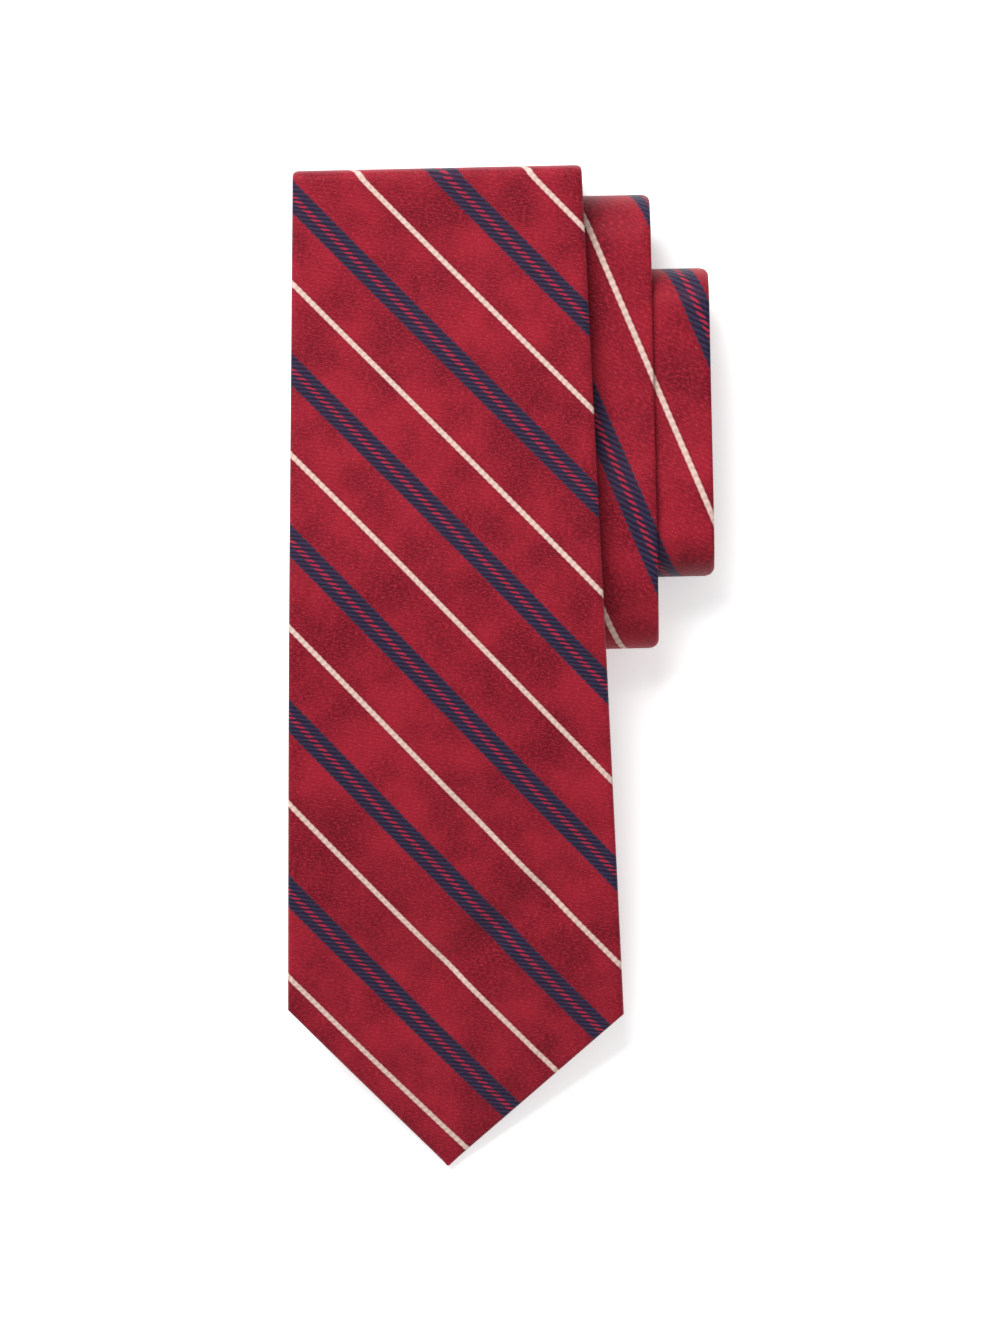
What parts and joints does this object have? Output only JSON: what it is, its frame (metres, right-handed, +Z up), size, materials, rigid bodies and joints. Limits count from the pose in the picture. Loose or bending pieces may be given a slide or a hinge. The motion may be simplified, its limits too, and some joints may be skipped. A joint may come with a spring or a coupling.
{
  "type": "rolled necktie",
  "caption": "Striped silk necktie rolled from its tail into a flat roll, the pointed front blade lying over the top, keeper loop and blank labels on the back.",
  "frame": {"origin": "in the flat underside of the roll, on the front blade's centre line", "axes": "+Z up out of the roll towards the blade, +Y from the blade's tip to the top fold, +X to the right where the loops show"},
  "size_m": [0.1081, 0.2475, 0.0319],
  "materials": {
    "silk": "woven silk twill, deep red with navy and ivory diagonal stripes, soft sheen",
    "interlining": "brushed wool and cotton canvas",
    "tipping": "plain smooth lining",
    "thread": "matte sewing thread",
    "name_label": "woven satin label, blank",
    "care_label": "woven taffeta label, blank"
  },
  "bodies": {
    "root": {"top_fold_shell": "silk", "top_fold_interlining": "interlining", "top_fold_slip_stitch": "thread", "under_blade_shell": "silk", "blade_neck_seam": "thread", "outer_neck_shell": "silk", "outer_interlining": "interlining", "outer_slip_stitch": "thread", "link_neck_shell": "silk", "link_interlining": "interlining", "link_slip_stitch": "thread"},
    "blade": {"blade_shell": "silk", "blade_interlining": "interlining", "blade_tipping": "tipping", "blade_tipping_stitch": "thread", "blade_slip_stitch": "thread", "blade_bar_tack": "thread", "keeper_loop": "silk", "keeper_tacks": "thread", "name_label": "name_label", "label_stitch": "thread"},
    "inner_turns": {"inner_neck_shell": "silk", "neck_tail_seam": "thread", "tail_shell": "silk", "inner_interlining": "interlining", "interlining_basting": "thread", "tail_interlining": "interlining", "inner_slip_stitch": "thread", "tail_tipping": "tipping", "tail_tipping_stitch": "thread", "tail_bar_tack": "thread", "care_label": "care_label", "slack_thread": "thread"}
  },
  "joints": [
    {"name": "blade_lift", "type": "hinge", "parent": "root", "child": "blade", "pos_m": [0, 0.064, 0.0164], "axis": [-1, 0, 0], "range_deg": [0, 178], "deforming": ["top_fold_shell", "top_fold_interlining", "top_fold_slip_stitch"]},
    {"name": "inner_turns_slide", "type": "slide", "parent": "root", "child": "inner_turns", "axis": [-1, 0, 0], "range_m": [-0.01, 0.018], "deforming": ["link_neck_shell", "link_interlining", "link_slip_stitch"]}
  ]
}
